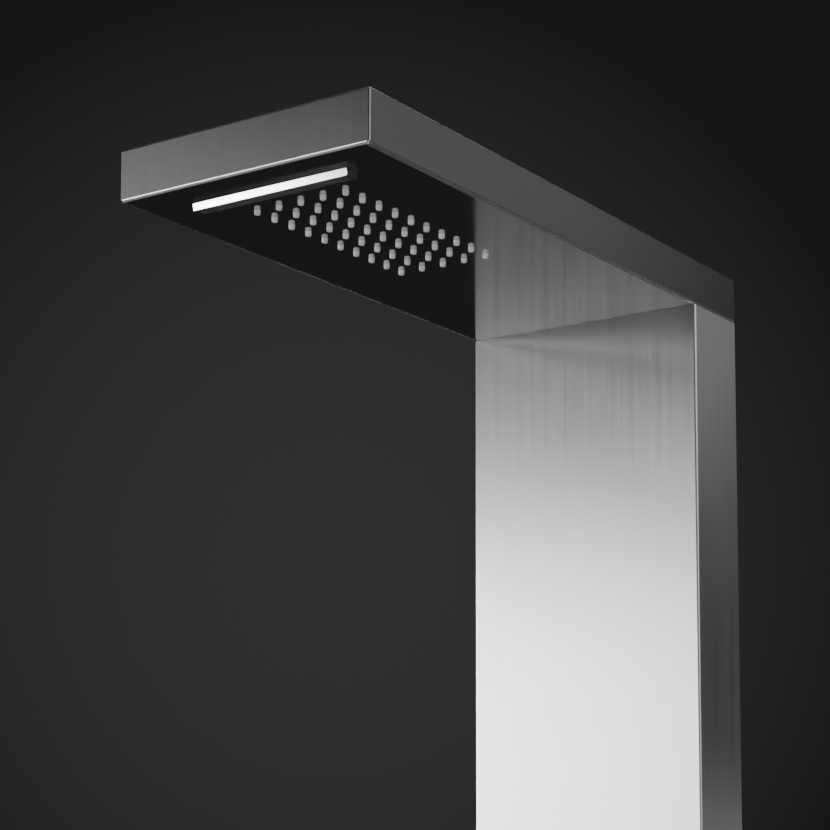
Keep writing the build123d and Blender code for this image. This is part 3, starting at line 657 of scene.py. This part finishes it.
facing = addNode(tree, "ShaderNodeCombineXYZ", {"Z": angle})
copies = addNode(
    tree, "GeometryNodeInstanceOnPoints",
    {"Points": points.outputs[0], "Instance": source.outputs["Geometry"], "Rotation": facing.outputs[0]},
)
placed = addNode(
    tree, "GeometryNodeTransform",
    {"Geometry": copies.outputs[0], "Translation": takes["Centre"], "Rotation": takes["Turn"]},
)
endTree(tree, placed.outputs[0], takes["Finish"])

# threaded rods on the host's points: a plain core and a helical ridge
threadedRods, takes = newTree(
    "threadedRods",
    [("Radius", "Float", 0.002), ("Length", "Float", 0.009), ("Pitch", "Float", 0.0007),
     ("Depth", "Float", 0.0003), ("Turn", "Vector", None), ("Finish", "Material", None)],
)
tree = threadedRods
coreRadius = calc(tree, "SUBTRACT", takes["Radius"], takes["Depth"])
core = addNode(
    tree, "GeometryNodeMeshCylinder", {"Vertices": 20, "Radius": coreRadius, "Depth": takes["Length"]}
)
lift = addNode(tree, "ShaderNodeCombineXYZ", {"Z": calc(tree, "MULTIPLY", takes["Length"], 0.5)})
core = addNode(
    tree, "GeometryNodeTransform", {"Geometry": core.outputs["Mesh"], "Translation": lift.outputs[0]}
)
helix = addNode(
    tree, "GeometryNodeCurveSpiral",
    {"Resolution": 16, "Rotations": calc(tree, "DIVIDE", takes["Length"], takes["Pitch"]),
     "Start Radius": coreRadius, "End Radius": coreRadius, "Height": takes["Length"]},
)
profile = addNode(tree, "GeometryNodeCurvePrimitiveCircle", {"Resolution": 4, "Radius": takes["Depth"]})
ridge = addNode(
    tree, "GeometryNodeCurveToMesh",
    {"Curve": helix.outputs[0], "Profile Curve": profile.outputs[0], "Fill Caps": True},
)
rod = addNode(tree, "GeometryNodeJoinGeometry")
tree.links.new(core.outputs[0], rod.inputs[0])
tree.links.new(ridge.outputs[0], rod.inputs[0])
copies = addNode(
    tree, "GeometryNodeInstanceOnPoints",
    {"Points": takes["Geometry"], "Instance": rod.outputs[0], "Rotation": takes["Turn"]},
)
endTree(tree, copies.outputs[0], takes["Finish"])
print("node trees ready")


# turned shapes: a profile of radius and distance along an axis, spun and closed at both ends
def turned(profile, steps=48):
    work = bmesh.new()
    rings = []
    for radius, along in profile:
        if radius == 0:
            rings.append([work.verts.new((0, 0, along))])
        else:
            rings.append([
                work.verts.new((radius * cos(tau * i / steps), radius * sin(tau * i / steps), along))
                for i in range(steps)
            ])
    for first, second in zip(rings, rings[1:]):
        for i in range(steps):
            j = (i + 1) % steps
            corners = [ring[k % len(ring)] for ring, k in ((first, i), (first, j), (second, j), (second, i))]
            work.faces.new(list(dict.fromkeys(corners)))
    bmesh.ops.recalc_face_normals(work, faces=work.faces)
    return work


def faceFront(work, centre):  # the turned axis Z becomes -Y
    work.transform(Matrix.Translation(centre) @ Matrix.Rotation(radians(90), 4, "X"))
    return work


# rain nozzles: silicone fingers on a mat, pointing down through the plate
nozzleSet = {"across": 5, "along": 10, "pitchAcross": 0.018, "pitchAlong": 0.0182, "radius": 0.0022,
             "tip": 0.002, "jet": 0.0007, "steps": 24, "inMat": 0.0002, "matThick": 0.0014, "matEdge": 0.0004}
jetDepth, jetMouth, tipEdge, collar = 0.0012, 0.0002, 0.0003, 0.0005


def nozzleProfile(radius, tip, jet, drop, rise):
    return [
        (0, jetDepth - drop), (jet, jetDepth - drop), (jet, jetMouth / 2 - drop), (jet + jetMouth, -drop),
        (tip - tipEdge, -drop), (tip, tipEdge - drop), (radius, -collar), (radius, 0.0), (radius, rise),
        (0, rise),
    ]


matLow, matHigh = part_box("nozzle_mat")
work = turned(
    nozzleProfile(nozzleSet["radius"], nozzleSet["tip"], nozzleSet["jet"], headUnder - matLow.z,
                  matHigh.z - headUnder - nozzleSet["inMat"]),
    nozzleSet["steps"],
)
nozzle = linkMesh("nozzleShape", work)


def nozzleGrid(name, source, finish):
    return runTree(
        gridOfCopies, name, Source=source, Columns=nozzleSet["across"], Rows=nozzleSet["along"],
        Pitch_Across=nozzleSet["pitchAcross"], Pitch_Along=nozzleSet["pitchAlong"],
        Centre=((matLow.x + matHigh.x) / 2, (matLow.y + matHigh.y) / 2, headUnder), Finish=finish,
    )


field = nozzleGrid("rainNozzles", nozzle, silicone)
removeObject(nozzle)

# underside plate: a shallow tray of polished sheet, pierced for the nozzles, the lip and the hoses
plateSet = {"fold": 0.0015, "foldSteps": 5, "sheet": 0.0012, "hole": 0.00245, "slotGap": 0.0002,
            "hoseHalf": 0.0845, "hoseDepth": (-0.052, -0.014), "flange": (0.005, 0.004), "punch": 0.006}


def foldedPlate():
    low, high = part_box("head_plate")
    work = bmesh.new()
    corners = [(low.x, low.y), (low.x, high.y), (high.x, high.y), (high.x, low.y)]
    rows = [[work.verts.new((x, y, z)) for x, y in corners] for z in (low.z, high.z)]
    work.faces.new(rows[0])
    for i in range(3):
        work.faces.new((rows[0][i], rows[1][i], rows[1][i + 1], rows[0][i + 1]))
    bmesh.ops.recalc_face_normals(work, faces=work.faces)
    under = min(work.faces, key=lambda face: face.calc_center_median().z)
    under.normal_update()
    if under.normal.z > 0:
        bmesh.ops.reverse_faces(work, faces=work.faces)
    bmesh.ops.bevel(
        work, geom=[e for e in work.edges if len(e.link_faces) == 2], offset=plateSet["fold"],
        segments=plateSet["foldSteps"], profile=0.5, affect="EDGES",
    )
    plate = linkMesh("headPlate", work, polishedSteel)
    thick = plate.modifiers.new("sheet", "SOLIDIFY")
    thick.thickness, thick.offset, thick.use_even_offset = plateSet["sheet"], -1, True
    punch = bmesh.new()
    bmesh.ops.create_cone(
        punch, cap_ends=True, segments=28, radius1=plateSet["hole"], radius2=plateSet["hole"],
        depth=plateSet["punch"],
    )
    punch = linkMesh("punch", punch)
    cutters = [nozzleGrid("punches", punch, polishedSteel)]
    removeObject(punch)
    lipLow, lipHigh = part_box("waterfall_lip")
    sideFlange, longFlange = (width - plateSet["slotGap"] for width in plateSet["flange"])
    openings = [
        (lipLow.x + sideFlange, lipHigh.x - sideFlange, lipLow.y + longFlange, lipHigh.y - longFlange),
        (-plateSet["hoseHalf"], plateSet["hoseHalf"], *plateSet["hoseDepth"]),
    ]
    for x0, x1, y0, y1 in openings:
        cut = bmesh.new()
        bmesh.ops.create_cube(cut, size=1)
        for vert in cut.verts:
            x, y = x1 if vert.co.x > 0 else x0, y1 if vert.co.y > 0 else y0
            vert.co = Vector((x, y, vert.co.z * plateSet["punch"] + low.z))
        cutters.append(linkMesh("cutter", cut))
    for cutter in cutters:
        plate.modifiers.new("hole", "BOOLEAN").object = cutter
    bpy.context.view_layer.update()
    plate = bake(plate, "headPlate")
    for cutter in cutters:
        removeObject(cutter)
    keepFlat(plate)
    return plate


place(foldedPlate(), "column", "polished_stainless", "head_plate")
print("underside plate made")

mat = bmesh.new()
bmesh.ops.create_cube(mat, size=1)
for vert in mat.verts:
    vert.co = Vector((
        matHigh.x if vert.co.x > 0 else matLow.x, matHigh.y if vert.co.y > 0 else matLow.y,
        matHigh.z if vert.co.z > 0 else matHigh.z - nozzleSet["matThick"],
    ))
bmesh.ops.bevel(
    mat, geom=mat.edges[:], offset=nozzleSet["matEdge"], segments=2, profile=0.5, affect="EDGES"
)
field = joinTo(field, linkMesh("mat", mat, silicone))
place(field, "column", "silicone", "nozzle_mat")
print("rain nozzles made")


# spray nozzles, one set for each tilting bar
spraySet = {"across": 10, "rows": 2, "pitchAcross": 0.0116, "pitchUp": 0.010, "radius": 0.0018,
            "tip": 0.0015, "jet": 0.0006, "drop": 0.0020, "steps": 20}
for level in ("lower", "upper"):
    low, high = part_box("spray_nozzles_" + level)
    depth = high.y - low.y
    work = turned(
        nozzleProfile(spraySet["radius"], spraySet["tip"], spraySet["jet"], spraySet["drop"],
                      depth - spraySet["drop"]),
        spraySet["steps"],
    )
    tip = linkMesh("tipShape", work)
    tips = runTree(
        gridOfCopies, "sprayNozzles_" + level, Source=tip, Columns=spraySet["across"], Rows=spraySet["rows"],
        Pitch_Across=spraySet["pitchAcross"], Pitch_Along=spraySet["pitchUp"],
        Centre=((low.x + high.x) / 2, low.y + spraySet["drop"], (low.z + high.z) / 2),
        Turn=(radians(-90), 0, 0),
        Finish=silicone,
    )
    removeObject(tip)
    place(tips, "spray_" + level, "silicone", "spray_nozzles_" + level)
print("spray nozzles made")

# knobs: a turned body with a ring of grip ridges and a flat lever
knobSet = {"radius": 0.0226, "chamfer": 0.0012, "steps": 96, "capRadius": 0.0052, "capRecess": 0.0016,
           "ridges": 72, "ridge": 0.00042, "ridgeLength": 0.009, "ridgeFlat": 0.9, "ridgeFromRear": 0.0075,
           "leverHalf": 0.0055, "leverFront": 0.003, "leverBack": 0.012, "leverFoot": 0.012,
           "leverRise": 0.058, "leverTip": 0.0049, "leverEdge": 0.0007}


def makeKnob(valve):
    low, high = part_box(valve + "_knob")
    axis = jointAt[valve + "_turn"]
    depth = high.y - low.y
    r, c, bore = knobSet["radius"], knobSet["chamfer"], knobSet["capRadius"]
    floorOfCap = depth - knobSet["capRecess"]
    profile = [  # rear, rim, front edge, then the stepped recess round the cap
        (bore, 0), (r - 0.0006, 0), (r, 0.0006), (r, depth - c - 0.0006), (r - 0.0003, depth - c),
        (r - c, depth - 0.0003), (r - c - 0.0006, depth), (0.0075, depth), (0.0070, depth - 0.0002),
        (0.0068, depth - 0.0009), (0.0062, depth - 0.0010), (0.0060, depth - 0.0010), (0.0060, floorOfCap),
        (bore, floorOfCap), (bore, 0),
    ]
    work = turned(profile, knobSet["steps"])
    bmesh.ops.remove_doubles(work, verts=work.verts, dist=1e-7)
    bmesh.ops.recalc_face_normals(work, faces=work.faces)
    body = linkMesh(valve + "Knob", faceFront(work, Vector((axis.x, high.y, axis.z))), chrome)
    body.data.shade_smooth()
    body.data.set_sharp_from_angle(angle=radians(32))
    ridge = bmesh.new()
    bmesh.ops.create_cone(
        ridge, cap_ends=True, segments=8, radius1=knobSet["ridge"], radius2=knobSet["ridge"],
        depth=knobSet["ridgeLength"],
    )
    for vert in ridge.verts:
        vert.co.x *= knobSet["ridgeFlat"]
    ridge = linkMesh("ridgeShape", ridge)
    grip = runTree(
        ringOfCopies, "grip", Source=ridge, Count=knobSet["ridges"], Radius=r, Sweep=tau,
        Centre=(axis.x, high.y - knobSet["ridgeFromRear"], axis.z), Turn=(radians(90), 0, 0), Finish=chrome,
    )
    removeObject(ridge)
    lever = bmesh.new()
    bmesh.ops.create_cube(lever, size=1)
    half = knobSet["leverHalf"]
    for vert in lever.verts:
        vert.co = Vector((
            axis.x + (half if vert.co.x > 0 else -half),
            low.y + knobSet["leverBack" if vert.co.y > 0 else "leverFront"],
            axis.z + knobSet["leverRise" if vert.co.z > 0 else "leverFoot"],
        ))
    tips = [
        e for e in lever.edges
        if all(v.co.z > axis.z + knobSet["leverFoot"] + hair for v in e.verts)
        and abs(e.verts[0].co.y - e.verts[1].co.y) > hair
    ]
    bmesh.ops.bevel(lever, geom=tips, offset=knobSet["leverTip"], segments=12, profile=0.5, affect="EDGES")
    bmesh.ops.bevel(
        lever, geom=[e for e in lever.edges if e.calc_face_angle(0) > 0.6], offset=knobSet["leverEdge"],
        segments=3, profile=0.5, affect="EDGES",
    )
    lever = linkMesh("lever", lever, chrome)
    lever.data.shade_smooth()
    lever.data.set_sharp_from_angle(angle=radians(40))
    knob = joinTo(body, grip, lever)
    keepFlat(knob)
    place(knob, valve + "_control", "chrome", valve + "_knob")


for valve in ("mixer", "diverter"):
    makeKnob(valve)
print("knobs made")

# trim plates: square covers with softened edges and inlaid marks round the knob
trimSet = {"corner": 0.005, "edge": 0.0009, "cuts": ((0.0115, 0.02), (0.0226, 0.006)), "cutSteps": 72,
           "markRadius": 0.0285, "markSize": (0.00168, 0.00044, 0.0003), "markEdge": 0.00006,
           "markFloat": 0.00008, "spotRadius": 0.0013, "spotEdge": 0.0001, "spotHalf": 0.00015,
           "spotsAt": 0.033}
# how many marks, where they start and how far they go round, in degrees
marksOf = {"mixer": (13, 90, 195), "diverter": (3, 0, 270)}


def makeTrim(valve):
    low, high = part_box(valve + "_trim_plate")
    axis = jointAt[valve + "_turn"]
    plate = bmesh.new()
    bmesh.ops.create_cube(plate, size=1)
    for vert in plate.verts:
        vert.co = Vector([high[i] if vert.co[i] > 0 else low[i] for i in range(3)])
    upright = [e for e in plate.edges if abs(e.verts[0].co.y - e.verts[1].co.y) > hair]
    bmesh.ops.bevel(plate, geom=upright, offset=trimSet["corner"], segments=10, profile=0.5, affect="EDGES")
    rim = [e for e in plate.edges if all(v.co.y < low.y + hair for v in e.verts)]
    bmesh.ops.bevel(plate, geom=rim, offset=trimSet["edge"], segments=4, profile=0.5, affect="EDGES")
    writeGrainMap(plate, columnGrain)
    plate = linkMesh(valve + "TrimPlate", plate, brushedSteel)
    cutters = []
    for radius, depth in trimSet["cuts"]:
        cut = bmesh.new()
        bmesh.ops.create_cone(
            cut, cap_ends=True, segments=trimSet["cutSteps"], radius1=radius, radius2=radius, depth=depth
        )
        cutters.append(linkMesh("cutter", cut))
        cutters[-1].rotation_euler = (radians(90), 0, 0)
        cutters[-1].location = (axis.x, high.y, axis.z)
        plate.modifiers.new("hole", "BOOLEAN").object = cutters[-1]
    bpy.context.view_layer.update()
    plate = bake(plate, valve + "TrimPlate")
    for cutter in cutters:
        removeObject(cutter)
    keepFlat(plate)
    place(plate, "column", "chrome", valve + "_trim_plate")
    face = low.y - trimSet["markFloat"]
    tick = bmesh.new()
    bmesh.ops.create_cube(tick, size=1)
    for vert in tick.verts:
        vert.co *= Vector(trimSet["markSize"])
    bmesh.ops.bevel(tick, geom=tick.edges[:], offset=trimSet["markEdge"], segments=1, affect="EDGES")
    tick = linkMesh("tickShape", tick)
    count, start, sweep = marksOf[valve]
    marks = runTree(
        ringOfCopies, valve + "Marks", Source=tick, Count=count, Radius=trimSet["markRadius"],
        Start=radians(start), Sweep=radians(sweep), Centre=(axis.x, face, axis.z), Turn=(radians(90), 0, 0),
        Finish=darkInlay,
    )
    removeObject(tick)
    if valve == "mixer":  # cold at the first stop, hot at the last
        rim, edge, half = trimSet["spotRadius"], trimSet["spotEdge"], trimSet["spotHalf"]
        profile = [
            (0, -half), (rim - edge, -half), (rim, edge - half), (rim, edge), (rim - edge, half), (0, half)
        ]
        for angle, colour in ((116, blueInlay), (244, redInlay)):
            spot = turned(profile, 32)
            away = Vector((cos(radians(angle)), 0, sin(radians(angle)))) * trimSet["spotsAt"]
            centre = Vector((axis.x, face, axis.z)) + away
            marks = joinTo(marks, linkMesh("spot", faceFront(spot, centre), colour))
    place(marks, "column", "cap_inlay")


for valve in ("mixer", "diverter"):
    makeTrim(valve)
print("trim plates made")


# studs and nuts behind the front panel
studSet = {"radius": 0.002, "pitch": 0.0007, "depth": 0.00028, "across": 0.007, "height": 0.0032,
           "nutEdge": 0.0003, "threadShare": 0.6, "panelLength": 0.009, "headLength": 0.010}


def hexNut(across, height, hole):
    work = bmesh.new()
    steps = 48
    rings = []
    edge = studSet["nutEdge"]
    for along, grow in ((0, -edge), (edge, 0), (height - edge, 0), (height, -edge)):
        ring = []
        for i in range(steps):
            a = tau * i / steps
            flat = across / 2 / cos((a % (tau / 6)) - tau / 12)
            corner = across / 2 / cos(tau / 12) + grow
            radius = min(flat, corner)
            ring.append(work.verts.new((radius * cos(a), radius * sin(a), along)))
        rings.append(ring)
    for along in (height, 0):
        turns = [tau * i / steps for i in range(steps)]
        rings.append([work.verts.new((hole * cos(a), hole * sin(a), along)) for a in turns])
    rings.append(rings[0])
    for first, second in zip(rings, rings[1:]):
        for i in range(steps):
            j = (i + 1) % steps
            work.faces.new((first[i], first[j], second[j], second[i]))
    bmesh.ops.recalc_face_normals(work, faces=work.faces)
    return work


def islandCentres(name):
    work = bmesh.new()
    work.from_mesh(frame["nodes"][name].data)
    bmesh.ops.remove_doubles(work, verts=work.verts, dist=1e-6)
    seen, centres = set(), []
    for vert in work.verts:
        if vert in seen:
            continue
        group, queue = [], [vert]
        seen.add(vert)
        while queue:
            here = queue.pop()
            group.append(here.co.copy())
            for edge in here.link_edges:
                other = edge.other_vert(here)
                if other not in seen:
                    seen.add(other)
                    queue.append(other)
        low = Vector([min(p[i] for p in group) for i in range(3)])
        high = Vector([max(p[i] for p in group) for i in range(3)])
        centres.append((low + high) / 2)
    work.free()
    return centres


def pointHost(centres, shift):
    work = bmesh.new()
    for centre in centres:
        work.verts.new(centre + shift)
    return linkMesh("host", work)


def makeFasteners(studs, nuts, length, alongY):
    turn = (radians(-90), 0, 0) if alongY else (0, 0, 0)
    axis = Vector((0, 1, 0)) if alongY else Vector((0, 0, 1))
    host = pointHost(islandCentres(studs), -axis * length / 2)
    rods = runTree(
        threadedRods, studs.replace("_s", "S"), host, Radius=studSet["radius"], Length=length,
        Pitch=studSet["pitch"], Depth=studSet["depth"], Turn=turn, Finish=boltSteel, smoothAngle=25,
    )
    place(rods, "column", "fastener_steel", studs)
    hole = studSet["radius"] - studSet["depth"] * studSet["threadShare"]
    work = hexNut(studSet["across"], studSet["height"], hole)
    if alongY:
        work.transform(Matrix.Rotation(radians(-90), 4, "X"))
    shape = linkMesh("nutShape", work)
    host = pointHost(islandCentres(nuts), -axis * studSet["height"] / 2)
    placedNuts = runTree(copiesOnPoints, nuts.replace("_n", "N"), host, Source=shape, Finish=boltSteel)
    removeObject(shape)
    place(placedNuts, "column", "fastener_steel", nuts)


copiesOnPoints, takes = newTree("copiesOnPoints", [("Source", "Object", None), ("Finish", "Material", None)])
source = addNode(copiesOnPoints, "GeometryNodeObjectInfo", {"Object": takes["Source"]})
copies = addNode(
    copiesOnPoints, "GeometryNodeInstanceOnPoints",
    {"Points": takes["Geometry"], "Instance": source.outputs["Geometry"]},
)
endTree(copiesOnPoints, copies.outputs[0], takes["Finish"])

makeFasteners("panel_studs", "panel_nuts", studSet["panelLength"], True)
makeFasteners("head_studs", "head_nuts", studSet["headLength"], False)
print("fasteners made")

# finishes for the parts whose shape is already right
dress(brushedFlat, "base_cap", "spray_bezel_lower", "spray_bezel_upper")
dress(brightLip, "waterfall_lip")
dress(millSteel, "neck_frame", "hanger_bar_upper", "hanger_bar_lower",
      "wall_bracket_upper", "wall_bracket_lower")
dress(boltSteel, "neck_screws", "hose_clamps", "mixer_grub_screw", "diverter_grub_screw")
dress(sealRubber, "mixer_seal", "diverter_seal")
dress(ceramic, "mixer_fixed_disc", "mixer_moving_disc", "diverter_fixed_disc", "diverter_moving_disc")
dress(moulding, "rain_chamber", "waterfall_chamber", "spray_housing_lower", "spray_housing_upper",
      "mixer_cartridge", "diverter_cartridge", "pipe_clips")
dress(castBrass, "mixer_body", "diverter_body")
dress(turnedBrass, "mixer_stem", "diverter_stem", "mixer_bonnet_nut", "diverter_bonnet_nut",
      "link_pipe", "union_nuts")
dress(chrome, "spray_bar_lower", "spray_bar_upper")
dress(darkInlay, "mixer_index_cap", "diverter_index_cap")
dress(hoseRubber, "waterfall_hose", "rain_hose", "spray_feed_hose", "spray_link_hose")
print("finishes on carried parts")

bpy.context.view_layer.update()
